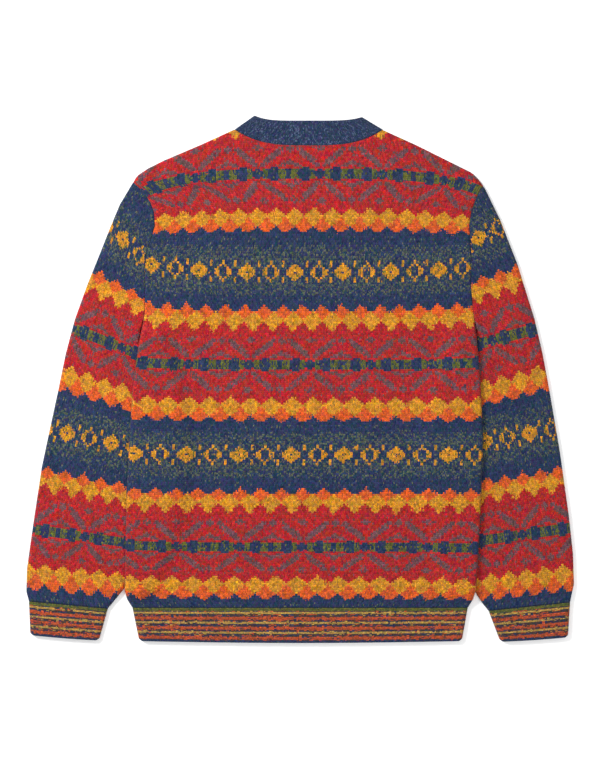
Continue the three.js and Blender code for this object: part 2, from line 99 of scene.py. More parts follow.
# Shoulders: x, y of the top edge outside the neck. The edge slopes, so the distance from it is the height
# below it times SHOULDER_COSINE.
SHOULDER_COSINE = 0.91
SHOULDERS = np.array([
    (-220, 253.5),
    (-213.4, 265.2),
    (-198.4, 275.2),
    (-178.4, 285.1),
    (-128.4, 306.4),
    (-85.5, 326),
    (107.5, 325),
    (151.2, 305.2),
    (192.5, 284.6),
    (223.6, 269.2),
    (233.9, 258.7),
    (241, 248),
])

# Neck: the neckband folds from each corner to the peak above it
NECK_LEFT = -85.5
NECK_RIGHT = 107.5
NECK_MIDDLE = (NECK_LEFT + NECK_RIGHT) / 2
NECK_HALF_WIDTH = (NECK_RIGHT - NECK_LEFT) / 2
NECK_TOP = 325.5
BACK_NECK_DROP = 20.6
BACK_NECK_CURVE = 3.2
FRONT_NECK_DROP = 75.0
LEFT_CORNER = np.array((NECK_LEFT, 326.0))
RIGHT_CORNER = np.array((NECK_RIGHT, NECK_TOP))
LEFT_PEAK = np.array((-60.1, 343.9))
RIGHT_PEAK = np.array((80.3, 341.9))
PEAK_CURVE = 5
BAND_BACK_TOP = 337.1
BAND_FRONT_INNER_DROP = 61.0

# The body is lifted where it lies on the sleeves: how high, from how far in off a sleeve's edge, over what
# width it comes down, and between which heights it starts above the welt and ends below the underarm
LIFT = TWO_LAYERS + 2 * SEAM
LIFT_MARGIN = 24.0
LIFT_SLOPE = 30.0
LIFT_FOOT = (-297, -275)
LIFT_HEAD = (54, 84)

# Sleeves: x, y down the outer fold, and down the inner edge under the body
LEFT_OUTER = np.array([
    (-219, 256),
    (-235.9, 227.6),
    (-248.4, 197.7),
    (-261.2, 165.2),
    (-278.3, 122.9),
    (-294.5, 77.7),
    (-306.4, 32.9),
    (-316.6, -17.1),
    (-326.4, -62),
    (-337.6, -115),
    (-348.8, -189.8),
    (-356.9, -247.2),
    (-357.7, -277.1),
    (-354.3, -289.8),
])
LEFT_INNER = np.array([
    (-203.3, 84),
    (-206.8, 68),
    (-209.9, 52),
    (-204, 20),
    (-191, -20),
    (-184, -70),
    (-185, -120),
    (-193, -175),
    (-207, -225),
    (-230, -273.3),
    (-243, -289),
    (-251.4, -299.3),
])
RIGHT_OUTER = np.array([
    (240, 250),
    (260.5, 207.8),
    (283, 150.3),
    (305.5, 77.8),
    (315.5, 35),
    (323, -4.6),
    (330.8, -50),
    (338.6, -96),
    (350, -177.2),
    (355.5, -227.1),
    (356.8, -267.2),
    (351.7, -291),
])
RIGHT_INNER = np.array([
    (226.5, 80),
    (228.6, 66),
    (230.2, 52),
    (222, 20),
    (205, -20),
    (198, -70),
    (199, -120),
    (207, -175),
    (216, -225),
    (229, -279.6),
    (238, -293),
    (245.5, -302.1),
])

# Where the pattern's rows lie. Rows count down from the body's lowest red band: 0 is its centre line,
# the welt starts at the last row, and the pattern repeats after each period.
PERIOD = 96
LAST_ROW = 35
BODY_FIRST_ROW = -231
SLEEVE_FIRST_ROW = -168
# Body: row, y on the centre line, droop at the left side, droop at the right side
DROOP_CURVE = 3.5
BODY_ROWS = np.array([
    (-226, 360, -14, -12),
    (-210, 316, -22, -20),
    (-192, 269.2, -27, -24),
    (-174, 220.8, -8, -9),
    (-162, 192.1, -3, -4),
    (-144, 139.9, 13, 8),
    (-126, 96.8, 6, 5),
    (-120, 79.8, 4, 4),
    (-96, 20, 3, 3),
    (-72, -41, 3, 0),
    (-48, -97.3, 2, 0),
    (-24, -157.2, 2, 0),
    (0, -218, 3, -1),
    (24, -272.8, 3, -3.5),
    (35, -298.3, 0, 0),
])
# Sleeves: row, y on the outer fold, and x, y of a second point of that row nearer the body. A row is
# followed from the fold in small steps, and the fold takes up a little more cloth than lies in plan.
WALK_LENGTH = 260
WALK_STEP = 0.25
FOLD_TAKE_UP = 2.0
LEFT_SLEEVE_ROWS = np.array([
    (-168, 256.6, -171, 209),
    (-144, 200, -201.8, 152.9),
    (-120, 129.4, -202.7, 95.5),
    (-96, 68, -212.2, 34),
    (-72, 1, -220.1, -27.7),
    (-48, -64.3, -223.3, -86.5),
    (-24, -127.7, -226.6, -151.2),
    (0, -194.5, -227.5, -212.4),
    (24, -256, -228.9, -267.8),
    (35, -289.8, -251.4, -299.3),
])
RIGHT_SLEEVE_ROWS = np.array([
    (-168, 251.2, 199, 229.3),
    (-144, 203, 223.7, 181),
    (-120, 134, 223.7, 115),
    (-96, 67, 230.8, 47),
    (-72, 0.5, 236.8, -21.5),
    (-48, -62.8, 236.8, -79.8),
    (-24, -128.2, 236.8, -146.2),
    (0, -192.5, 233.8, -209.5),
    (24, -258.3, 227.8, -273.4),
    (35, -291, 245.5, -302.1),
])

# Soft swells of the upper layer: x, y, angle from X, length, width, height
BODY_SWELLS = [
    (-130, 105, 28, 170, 17, 1.3),
    (150, 120, 148, 150, 15, 1.2),
    (-60, -70, 12, 230, 26, 0.9),
    (95, -150, 166, 210, 24, 1.0),
    (-105, -215, 8, 190, 20, 0.9),
    (20, 215, 178, 220, 22, 0.8),
]
SLEEVE_SWELLS = [
    (-262, 55, 118, 130, 13, 1.3),
    (-283, -95, 12, 80, 11, 1.1),
    (-303, -215, 20, 90, 12, 1.2),
    (272, 70, 66, 120, 13, 1.2),
    (292, -120, 165, 80, 11, 1.2),
    (300, -232, 158, 85, 12, 1.1),
]
# Finer creases of the upper layer, in the same form: below 0 is a trough
BODY_CREASES = [
    (-165, 62, 40, 90, 7, -0.45),
    (-148, 38, 34, 70, 6, 0.35),
    (178, 70, 142, 80, 7, -0.45),
    (160, 44, 150, 60, 6, 0.3),
    (-40, -262, 4, 150, 8, -0.35),
    (112, -254, 176, 120, 7, 0.3),
    (58, 118, 170, 140, 9, -0.35),
    (-72, 250, 20, 80, 8, 0.3),
    (130, 262, 158, 70, 7, -0.3),
    (-12, -120, 175, 110, 9, 0.3),
]
SLEEVE_CREASES = [
    (-248, 108, 112, 90, 7, -0.45),
    (-262, 20, 24, 60, 6, 0.35),
    (-292, -150, 172, 70, 7, -0.4),
    (-310, -262, 8, 60, 6, 0.35),
    (262, 112, 70, 90, 7, -0.45),
    (278, 12, 158, 60, 6, 0.35),
    (288, -168, 8, 70, 7, -0.4),
    (302, -258, 172, 60, 6, 0.35),
]
SWELL_EDGE_FADE = 24.0

# Striped bands: top left, top right, bottom left, bottom right, sag
WELT = ((-219.2, -298.3), (218.2, -298.3), (-210.3, -341.5), (210.5, -341.5), 2.4)
LEFT_CUFF = ((-354.3, -290.1), (-251.4, -299.6), (-352.4, -334), (-262.8, -340.5), 0.6)
RIGHT_CUFF = ((245.5, -302.4), (351.7, -291.3), (260.7, -342.3), (349, -336.8), 0.6)
RIDGES = 7
RIDGE_HEIGHT = 0.6
CORNER_ROUNDING = 3.0
# The uppermost ridge is narrow, and so is the edge below the last one
RIDGE_SHIFT = 0.45
STRIPES = "GTBTBTBN"
GROOVE_SHARES = {"D": 0.6, "N": 0.25, "B": 0.15}
# How far a stripe reaches from the middle of its ridge, as part of a ridge
WIDE_STRIPE = 0.34
NARROW_STRIPE = 0.24
# The part of the stitches that has the groove's yarns, in a groove and on a stripe
IN_GROOVE = 0.94
ON_STRIPE = 0.08

# Yarn colours as they show: red, green, blue out of 255
YARNS = {
    "N": (34, 52, 88),
    "R": (182, 30, 36),
    "Y": (214, 144, 22),
    "O": (222, 92, 20),
    "M": (112, 74, 80),
    "G": (96, 100, 44),
    "S": (84, 94, 78),
    "L": (76, 92, 122),
    "T": (186, 146, 70),
    "B": (188, 80, 44),
    "D": (72, 54, 56),
}
YARN_KEYS = "".join(YARNS)
# The most that loose fibres of other colours add to a stitch, in linear light. A yarn's own colour is
# darker by half of that, but never quite black.
FLECKS = 0.028
DARKEST = 0.002
# How much stitches of one yarn differ in light and in hue
LIGHT_SPREAD = 0.15
HUE_SPREAD = 0.07

# Charts, one letter a stitch, from the top row down
SCALLOP_UNDER_RED = [
    "RRRRYRRR",
    "RRRYYYRR",
    "RRYYYYYR",
    "RYYYYYYY",
    "YYYYYYYY",
    "OYYYYYYY",
    "OOYYYYYO",
    "OOYYYYYO",
    "OOOYYYOO",
    "OOOOYOOO",
    "OOOONOOO",
    "OOONNNOO",
    "OONNNNNO",
]
SPIKES_UNDER_NAVY = [
    "NNNNONNN",
    "NNNOOONN",
    "NNOOOOON",
    "YOOOOOOO",
    "YYOOOOOY",
    "YYYOOOYY",
    "YYYYOYYY",
    "YYYYYYYY",
    "YYYYRYYY",
    "YYYRRRYY",
    "YYRRRRRY",
    "YYRRRRRY",
    "YRRRRRRR",
]
# Half of the red band, from its centre line outwards. The crossing is at the first stitch.
RED_LATTICE = [
    "NNGGNNNNGGGNNGGGNNNNGGNN",
    "NNGGNNNNGGGNNGGGNNNNGGNN",
    "NRGGNNNNGGGNNGGGNNNNGGRN",
    "RRRRRNNNRRRRRRRRRNNNRRRR",
    "RMMRRRRRMMMRRRMMMRRRRRMM",
    "RMMMRRRRRMMMMMMMRRRRRMMM",
    "RRMMMRRRRRRMMMRRRRRRMMMR",
    "RRMMMMRRRRRRMRRRRRRMMMMR",
    "RRRMMMMRRRRRRRRRRRMMMMRR",
    "RRRRMMMMRRRRRRRRRMMMMRRR",
    "RRRRRMMMMRRRRRRRMMMMRRRR",
    "RRRRRRMMMRRRMRRRMMMRRRRR",
    "MRRRRRRMMMRMMMRMMMRRRRRM",
    "MMRRRRRRMMRMMMRMMRRRRRMM",
    "MRRRRRRRRRRRMRRRRRRRRRRM",
]
# Half of the flower band, from its centre line outwards: a ring round the first stitch, and a filled flower
# round the eleventh
FLOWERS = [
    "SNYYNSNYYYNYYYNSNYYN",
    "NNYYNNNYYYYYYYNNNYYN",
    "NNYNNNNNYYYYYNNNNNYN",
    "NYNNNYNNNYYYNNNYNNNY",
    "YNNNNYNNNNYNNNNYNNNN",
    "YNNNNYNNNNSNNNNYNNNN",
    "SNNSNNNSNNSNNSNNNSNN",
    "NNSNSNSNNNSNNNSNSNSN",
    "NSNNNSNNNSNSNNNSNNNS",
    "NNNSNSNNSNNNSNNSNSNN",
    "NNSNNNSNNNSNNNSNNNSN",
    "NSNNNNNSNNSNNSNNNNNS",
]
FLOWER_ROW = 48
SCALLOP_FROM = 17
SPIKES_FROM = 66
CAP_ABOVE_FLOWERS = 12
CAP_SPECKLE = 0.1
NECK_SPECKLE = 0.2

# Legs of a stitch that show another yarn, so that the motifs are as soft as in heathered wool:
# band, from and to rows off its centre line, the chart's yarn, the other yarn, its share of the legs
SECOND_YARNS = [
    ("flower", 2, 8, "N", "S", 0.3),
    ("flower", 8, 13, "N", "S", 0.2),
    ("flower", 13, 17, "N", "S", 0.05),
    ("flower", 0, 6, "Y", "G", 0.14),
    ("flower", 0, 13, "S", "N", 0.35),
    ("red", 3, 17, "R", "M", 0.03),
    ("red", 3, 17, "M", "R", 0.08),
    ("red", 0, 4, "G", "N", 0.25),
    ("red", 0, 4, "N", "G", 0.06),
]
# At the edge of a motif: the share of the legs that show the yarn of the next stitch, and the part of the
# stitches with a second yarn that take the next one's instead
NEIGHBOUR_SHARE = 0.16
EDGE_PART = 0.2

# How many stitches the charts are moved sideways on a piece, for each repeat of the pattern, from the
# lowest one up: the shifts of the lattice, the flowers, the scallops and the spikes
SHIFTS = {
    "body": [(0, 4, 2, 3), (1, 4, -2, 1), (4, 4, -4, 3)],
    "left sleeve": [(0, 18, 4, -1), (0, 18, 0, 0), (0, 18, 0, 0)],
    "right sleeve": [(-2, 2, 1, -2), (-3, 2, 0, -3), (-3, 2, 0, -3)],
}

# Wool as a material. The fibres are noise. Stitches are darker towards their edges, which is painted shade
# in the grooves between them, and one leg is darker than another. Relief is in metres.
ROUGHNESS = 0.95
SHEEN_ROUGHNESS = 0.5
GLOSS = 0.2
FIBRE_SCALE = 900
FIBRE_DETAIL = 3
FIBRE_SHADE = 1.8
FIBRE_RELIEF = 0.25
LEG_ROUNDING = 0.5
EDGE_SHADE = 0.5
DARKEST_LEG = 0.65
LEG_SPREAD = 0.6
RELIEF = 0.0006
RELIEF_STRENGTH = 0.7
# The draw between two yarns is read this far from the draw of the lightness
NEXT_DRAW = (0.5, 0.5, 7.5)

# Floor, lights and camera, in metres and watts. The lights look at the origin: name, place, size, power.
FLOOR_SIZE = 8
FLOOR_DROP = 0.0005
FLOOR_WHITE = 0.95
FLOOR_GLOW = 0.12
LIGHTS = [
    ("key", (-1.7, 1.2, 1.5), 0.8, 74),
    ("fill", (1.2, -0.8, 2.6), 2.2, 24),
]
ROOM_LIGHT = 0.6
# The camera looks straight down, and this height of the floor fills its picture
CAMERA_PLACE = (-0.00065, -0.0044, 3.0)
PICTURE_HEIGHT = 0.999
SENSOR = 36


def smooth(low, high, value):
    t = np.clip((value - low) / (high - low), 0, 1)
    return t * t * (3 - 2 * t)


def mix(a, b, t):
    return a + (b - a) * t


def look_up(table, column, value):
    """A column of a table whose first column rises, at each value."""
    return np.interp(value, table[:, 0], table[:, column])


def hidden_edge(inner, y):
    """The x of a sleeve's edge under the body at each height."""
    return np.interp(y, inner[::-1, 1], inner[::-1, 0])


# Outline of the body

def back_neckline(x):
    away = np.minimum(1, np.abs(x - NECK_MIDDLE) / NECK_HALF_WIDTH)
    return NECK_TOP - BACK_NECK_DROP * (1 - away ** BACK_NECK_CURVE)


def front_neckline(x):
    away = np.minimum(1, np.abs(x - NECK_MIDDLE) / NECK_HALF_WIDTH)
    return NECK_TOP - FRONT_NECK_DROP * np.sqrt(1 - away * away)


def top_edge(x, neckline):
    at_neck = (x > NECK_LEFT) & (x < NECK_RIGHT)
    return np.where(at_neck, neckline(x) - SEAM, np.interp(x, SHOULDERS[:, 0], SHOULDERS[:, 1]))


# Heights

def body_lift(x, y):
    along = smooth(*LIFT_FOOT, y) * (1 - smooth(*LIFT_HEAD, y))
    from_left = x - hidden_edge(LEFT_INNER, y) - LIFT_MARGIN
    from_right = hidden_edge(RIGHT_INNER, y) - x - LIFT_MARGIN
    return LIFT * along * (1 - smooth(0, LIFT_SLOPE, np.minimum(from_left, from_right)))


def swell_height(swells, x, y):
    height = 0
    for middle_x, middle_y, angle, length, width, rise in swells:
        turn = math.radians(angle)
        along = (x - middle_x) * math.cos(turn) + (y - middle_y) * math.sin(turn)
        across = (y - middle_y) * math.cos(turn) - (x - middle_x) * math.sin(turn)
        ends = np.maximum(0, 1 - (2 * along / length) ** 2)
        height = height + rise * ends * ends * np.exp(-((across / width) ** 2))
    return height


def fold_depth(arc, radius):
    """How far in from a fold's outer line a place lies in plan, from how far it is along the cloth."""
    quarter = radius * QUARTER_TURN
    return np.where(arc < quarter, radius * (1 - np.cos(arc / radius)), arc - quarter + radius)


def fold_drop(depth, radius):
    """How far the outer face drops below its flat part near a fold."""
    inside = np.clip(radius - depth, 0, radius)
    return radius - np.sqrt(np.maximum(0, radius * radius - inside * inside))


# Yarn of each stitch. Stitches and rows are whole numbers, and each letter stands for a yarn.

def chart_letters(chart, rows, stitches):
    letters = np.array([[YARN_KEYS.index(key) for key in line] for line in chart])
    return letters[rows, stitches % letters.shape[1]]


def pattern_yarn(rows, stitches, shifts):
    """The yarn of each stitch, and its second yarn with that one's share of the stitch's legs."""
    band = rows % PERIOD
    repeat = np.clip((PERIOD // 2 - rows) // PERIOD, 0, len(shifts) - 1)
    lattice_shift, flower_shift, scallop_shift, spikes_shift = np.moveaxis(np.array(shifts)[repeat], -1, 0)
    off_line = {
        "red": np.minimum(band, PERIOD - band),
        "flower": np.abs(band - FLOWER_ROW),
    }
    in_navy = off_line["flower"] < FLOWER_ROW - SCALLOP_FROM
    yarn = np.where(in_navy, YARN_KEYS.index("N"), YARN_KEYS.index("R"))
    for which, chart, shift in (("red", RED_LATTICE, lattice_shift), ("flower", FLOWERS, flower_shift)):
        row = off_line[which]
        letters = chart_letters(chart, np.minimum(row, len(chart) - 1), stitches - shift)
        yarn = np.where(row < len(chart), letters, yarn)
    edgings = (
        (SCALLOP_UNDER_RED, SCALLOP_FROM, scallop_shift),
        (SPIKES_UNDER_NAVY, SPIKES_FROM, spikes_shift),
    )
    in_edging = np.zeros(yarn.shape, dtype=bool)
    for chart, first, shift in edgings:
        inside = (band >= first) & (band < first + len(chart))
        row = np.clip(band - first, 0, len(chart) - 1)
        yarn = np.where(inside, chart_letters(chart, row, stitches - shift), yarn)
        in_edging = in_edging | inside
    second = yarn.copy()
    share = np.zeros(yarn.shape)
    for which, low, high, planned, other, part in SECOND_YARNS:
        here = (off_line[which] >= low) & (off_line[which] < high) & (yarn == YARN_KEYS.index(planned))
        here = here & ~in_edging
        second = np.where(here, YARN_KEYS.index(other), second)
        share = np.where(here, part, share)
    return yarn, second, share


def with_neighbours(yarn, second, share, seed):
    """Where a stitch has no second yarn yet, it gets that of a stitch beside, above or below it."""
    random = np.random.default_rng(seed)
    choice = random.integers(0, 4, yarn.shape)
    turned = [np.roll(yarn, 1, 0), np.roll(yarn, -1, 0), np.roll(yarn, 1, 1), np.roll(yarn, -1, 1)]
    neighbour = np.choose(choice, turned)
    is_free = (share == 0) | (random.random(yarn.shape) < EDGE_PART)
    is_edge = is_free & (neighbour != yarn)
    return np.where(is_edge, neighbour, second), np.where(is_edge, NEIGHBOUR_SHARE, share)


def linear_colour(rgb):
    """From a colour as a screen shows it to linear light, by the usual curve."""
    value = np.asarray(rgb) / 255
    return np.where(value < 0.04045, value / 12.92, ((value + 0.055) / 1.055) ** 2.4)


SHOWN_COLOURS = np.array([linear_colour(rgb) for rgb in YARNS.values()])
YARN_COLOURS = np.maximum(SHOWN_COLOURS - FLECKS / 2, DARKEST)


def heathered(yarn, second, share, seed):
    """Colours for every stitch: its yarn's, a little lighter or darker and a little off in hue, its second
    yarn's, and that one's share as the fourth number."""
    random = np.random.default_rng(seed)
    second, share = with_neighbours(yarn, second, share, seed)
    light = np.exp(random.normal(0, LIGHT_SPREAD, yarn.shape))[..., None]
    hue = np.exp(random.normal(0, HUE_SPREAD, yarn.shape + (3,)))
    main = YARN_COLOURS[yarn] * light * hue
    other = YARN_COLOURS[second] * light
    return np.concatenate([main, other, share[..., None]], axis=-1)


def plain(yarn, seed):
    return heathered(yarn, yarn, np.zeros(yarn.shape), seed)


# Meshes

def knit_object(name, points, colours, is_ring=False):
    """A mesh with one quad for each stitch. Points are rows by columns in millimetres."""
    row_count, column_count = points.shape[:2]
    quad_columns = column_count if is_ring else column_count - 1
    numbers = np.arange(row_count * column_count).reshape(row_count, column_count)
    flat = points.reshape(-1, 3)
    grid = np.round(flat / WELD).astype(int)
    _, first, welded = np.unique(grid, axis=0, return_index=True, return_inverse=True)
    vertices = flat[first]
    welded = welded.reshape(-1)
    faces = []
    face_colours = []
    face_uvs = []
    for row in range(row_count - 1):
        for column in range(quad_columns):
            after = (column + 1) % column_count
            corners = (
                (numbers[row, column], 0, 0),
                (numbers[row, after], 1, 0),
                (numbers[row + 1, after], 1, 1),
                (numbers[row + 1, column], 0, 1),
            )
            face = []
            uvs = []
            for number, right, up in corners:
                vertex = int(welded[number])
                if vertex not in face:
                    face.append(vertex)
                    uvs.append((column + right, row + up))
            if len(face) >= 3:
                faces.append(face)
                face_uvs.extend(uvs)
                face_colours.extend([colours[row, column]] * len(face))
    mesh = bpy.data.meshes.new(name)
    mesh.from_pydata((vertices * MM).tolist(), [], faces)
    face_colours = np.array(face_colours, dtype=np.float32)
    layers = {
        "yarn": face_colours[:, :3],
        "second": face_colours[:, 3:6],
        "share": np.repeat(face_colours[:, 6:], 3, axis=1),
    }
    for layer, values in layers.items():
        rgba = np.ones((len(values), 4), dtype=np.float32)
        rgba[:, :3] = values
        mesh.color_attributes.new(layer, "FLOAT_COLOR", "CORNER").data.foreach_set("color", rgba.ravel())
    uv = mesh.uv_layers.new(name="stitch")
    uv.data.foreach_set("uv", np.array(face_uvs, dtype=np.float32).ravel())
    mesh.polygons.foreach_set("use_smooth", np.ones(len(faces), dtype=bool))
    mesh.update()
    piece = bpy.data.objects.new(name, mesh)
    bpy.context.collection.objects.link(piece)
    return piece


def thicken(piece):
    """Gives a surface its wall, which grows away from the side that shows."""
    wall = piece.modifiers.new("wall", "SOLIDIFY")
    wall.thickness = SHELL_WALL * MM
    wall.offset = -1
    wall.use_rim = True
    wall.use_even_offset = False


# Body panels

def row_line(table, row, t):
    """The y of a row of the body where t runs from -1 at the left side to 1 at the right."""
    middle = look_up(table, 1, row)
    droop = np.where(t < 0, look_up(table, 2, row), look_up(table, 3, row))
    return middle + droop * np.abs(t) ** DROOP_CURVE


def across_body(part, y):
    """The x of a column of the body at a height, and the radius that its side edge rolls under with."""
    left = look_up(BODY_SIDES, 1, y)
    right = look_up(BODY_SIDES, 2, y)
    roll = 1 - smooth(ROLL_FULL, ROLL_START, y)
    radius = np.maximum(SEWN_REACH * roll, SHARP)
    width = right - left + 2 * radius * (QUARTER_TURN - 1)
    from_left = fold_depth(part * width, radius)
    from_right = fold_depth((1 - part) * width, radius)
    return np.where(part < 0.5, left + from_left, right - from_right), radius


def body_plan(rows, neckline):
    """Plan points of a panel, rows by columns, with the radius of its side edges. The place where a column
    meets the top edge is found by halving."""
    part = np.linspace(0, 1, BODY_STITCHES + 1)[None, :]
    low = np.full(part.shape, UNDERARM)
    high = np.full(part.shape, NECK_TOP + 1)
    for _ in range(HALVINGS):
        middle = (low + high) / 2
        is_below = middle < top_edge(across_body(part, middle)[0], neckline)
        low = np.where(is_below, middle, low)
        high = np.where(is_below, high, middle)
    y = np.clip(row_line(BODY_ROWS, rows[:, None], 2 * part - 1), WELT_TOP, low)
    x, radius = across_body(part, y)
    return x, y, radius


def body_panel(name, neckline, is_upper, seed):
    rows = np.arange(LAST_ROW, BODY_FIRST_ROW - 1, -1)
    x, y, radius = body_plan(rows.astype(float), neckline)
    from_side = np.minimum(x - look_up(BODY_SIDES, 1, y), look_up(BODY_SIDES, 2, y) - x)
    drop = fold_drop(from_side, radius)
    at_shoulder = (x <= NECK_LEFT) | (x >= NECK_RIGHT)
    from_top = np.where(at_shoulder, SHOULDER_COSINE * (top_edge(x, neckline) - y), SEWN_REACH)
    drop = np.maximum(drop, fold_drop(from_top, SEWN_REACH))
    lift = body_lift(x, y)
    if is_upper:
        fade = smooth(0, SWELL_EDGE_FADE, from_side) * smooth(0, SWELL_EDGE_FADE, y - WELT_TOP)
        z = TWO_LAYERS + lift - drop + fade * swell_height(BODY_SWELLS + BODY_CREASES, x, y)
    else:
        z = lift + drop
    points = np.stack([x, y, z], axis=-1)
    stitches = np.arange(BODY_STITCHES) - BODY_STITCHES // 2
    colours = heathered(*pattern_yarn(rows[1:][:, None], stitches[None, :], SHIFTS["body"]), seed)
    if is_upper:
        return knit_object(name, points, colours)
    return knit_object(name, points[:, ::-1], colours[:, ::-1])


# Sleeves

def sleeve_edge(side_column, inner, outward, y):
    """The x of a sleeve's inner edge: at the armhole above the underarm, under the body below it."""
    armhole = look_up(BODY_SIDES, side_column, y) + outward * SEAM
    return np.where(y > UNDERARM, armhole, hidden_edge(inner, y))


def sleeve_shell(name, rows_table, outer, inner, side_column, outward, seed):
    rows = np.arange(LAST_ROW, SLEEVE_FIRST_ROW - 1, -1).astype(float)
    start_y = look_up(rows_table, 1, rows)
    start_x = np.interp(start_y, outer[::-1, 1], outer[::-1, 0])
    way_x = look_up(rows_table, 2, rows) - start_x
    way_y = look_up(rows_table, 3, rows) - start_y
    length = np.hypot(way_x, way_y)
    way_x = way_x / length
    way_y = way_y / length
    steps = np.arange(0, WALK_LENGTH, WALK_STEP)[None, :]
    walk_x = start_x[:, None] + way_x[:, None] * steps
    walk_y = start_y[:, None] + way_y[:, None] * steps
    past = outward * (sleeve_edge(side_column, inner, outward, walk_y) - walk_x) > 0
    # The first steps are on the fold itself, and the last row ends at the armhole's top
    past[:, :2] = False
    reach = steps[0, np.argmax(past, axis=1)]
    reach[-1] = reach[-2]
    is_sewn = start_y + way_y * reach < SLEEVE_ROLL
    half = int(math.ceil(reach.max() / SLEEVE_STITCH)) + 1
    columns = np.arange(-half, half + 1)
    arc = np.minimum(np.abs(columns)[None, :] * SLEEVE_STITCH, (reach + FOLD_TAKE_UP)[:, None])
    depth = np.minimum(fold_depth(arc, FOLD_REACH), reach[:, None])
    x = start_x[:, None] + way_x[:, None] * depth
    y = start_y[:, None] + way_y[:, None] * depth
    x[-1] = sleeve_edge(side_column, inner, outward, y[-1])
    drop = fold_drop(depth, FOLD_REACH)
    sewn_drop = fold_drop(reach[:, None] - depth, SEWN_REACH) * is_sewn[:, None]
    drop = np.maximum(drop, sewn_drop)
    from_body = outward * (x - look_up(BODY_SIDES, side_column, y))
    fade = smooth(0, SWELL_EDGE_FADE, depth) * smooth(0, SWELL_EDGE_FADE, from_body)
    upper = TWO_LAYERS - drop + fade * swell_height(SLEEVE_SWELLS + SLEEVE_CREASES, x, y)
    z = np.where(columns[None, :] >= 0, upper, drop)
    points = np.stack([x, y, z], axis=-1)
    stitches = columns[:-1]
    shifts = SHIFTS["left sleeve" if outward < 0 else "right sleeve"]
    yarn, second, share = pattern_yarn(rows[1:].astype(int)[:, None], stitches[None, :], shifts)
    above_flowers = (rows[1:] < -PERIOD - FLOWER_ROW - CAP_ABOVE_FLOWERS)[:, None]
    yarn = np.where(above_flowers, YARN_KEYS.index("N"), yarn)
    second = np.where(above_flowers, YARN_KEYS.index("S"), second)
    share = np.where(above_flowers, CAP_SPECKLE, share)
    colours = heathered(yarn, second, share, seed)
    if outward > 0:
        return knit_object(name, points[:, ::-1], colours[:, ::-1])
    return knit_object(name, points, colours)


# Bands

def band_ring(left, right, line, rows, stitch):
    """A flattened ring: plan points and heights of its outer face, and how far each point looks up."""
    width = right - left + 2 * FOLD_REACH * (QUARTER_TURN - 1)
    count = int(round(width.mean() / stitch))
    part = np.linspace(0, 1, count + 1)[None, :]
    from_left = fold_depth(part * width[:, None], FOLD_REACH)
    from_right = fold_depth((1 - part) * width[:, None], FOLD_REACH)
    x = np.where(part < 0.5, left[:, None] + from_left, right[:, None] - from_right)
    y = line(x, rows[:, None])
    drop = fold_drop(np.minimum(from_left, from_right), FOLD_REACH)
    look = 1 - drop / FOLD_REACH
    back_way = slice(count - 1, 0, -1)
    ring_x = np.concatenate([x, x[:, back_way]], axis=1)
    ring_y = np.concatenate([y, y[:, back_way]], axis=1)
    ring_z = np.concatenate([TWO_LAYERS - drop, drop[:, back_way]], axis=1)
    ring_look = np.concatenate([look, 0 * look[:, back_way]], axis=1)
    return ring_x, ring_y, ring_z, ring_look


def ridge_yarn(w, column_count, seed):
    """The yarn of each stitch of a striped band, for rows at w, from 0 at the bottom to 1 at the top."""
    down = (1 - w) * RIDGES + RIDGE_SHIFT
    ridge = down.astype(int)
    inside = down - ridge
    stripe = np.array([YARN_KEYS.index(key) for key in STRIPES])[ridge]
    yarn = np.repeat(stripe[:, None], column_count, axis=1)
    random = np.random.default_rng(seed)
    grooves = [YARN_KEYS.index(key) for key in GROOVE_SHARES]
    groove_yarn = random.choice(grooves, yarn.shape, p=list(GROOVE_SHARES.values()))
    off_middle = np.abs(inside - 0.5)[:, None]
    half_width = np.where(yarn == YARN_KEYS.index("B"), WIDE_STRIPE, NARROW_STRIPE)
    groove_share = np.where(off_middle > half_width, IN_GROOVE, ON_STRIPE)
    in_groove = (ridge > 0)[:, None] & (ridge < len(STRIPES) - 1)[:, None]
    return np.where(in_groove & (random.random(yarn.shape) < groove_share), groove_yarn, yarn)


def striped_band(name, corners, seed):
    top_left, top_right, bottom_left, bottom_right, sag = corners
    w = np.linspace(0, 1, RIDGES * ROWS_PER_RIDGE + 1)
    inset = CORNER_ROUNDING * np.clip(1 - w * 2 * RIDGES, 0, 1)
    left = mix(bottom_left[0], top_left[0], w) + inset
    right = mix(bottom_right[0], top_right[0], w) - inset

    def line(x, rows):
        u = (x - left[:, None]) / (right - left)[:, None]
        bottom = mix(bottom_left[1], bottom_right[1], u) - sag * np.sin(np.pi * u)
        return mix(bottom, mix(top_left[1], top_right[1], u), rows)

    x, y, z, look = band_ring(left, right, line, w, BAND_STITCH)
    raised = RIDGE_HEIGHT * np.abs(np.sin(np.pi * ((1 - w) * RIDGES + RIDGE_SHIFT)))[:, None]
    z = z + raised * look
    points = np.stack([x, y, z], axis=-1)
    middle = (w[1:] + w[:-1]) / 2
    yarn = ridge_yarn(middle, x.shape[1], seed)
    return knit_object(name, points, plain(yarn, seed), is_ring=True)


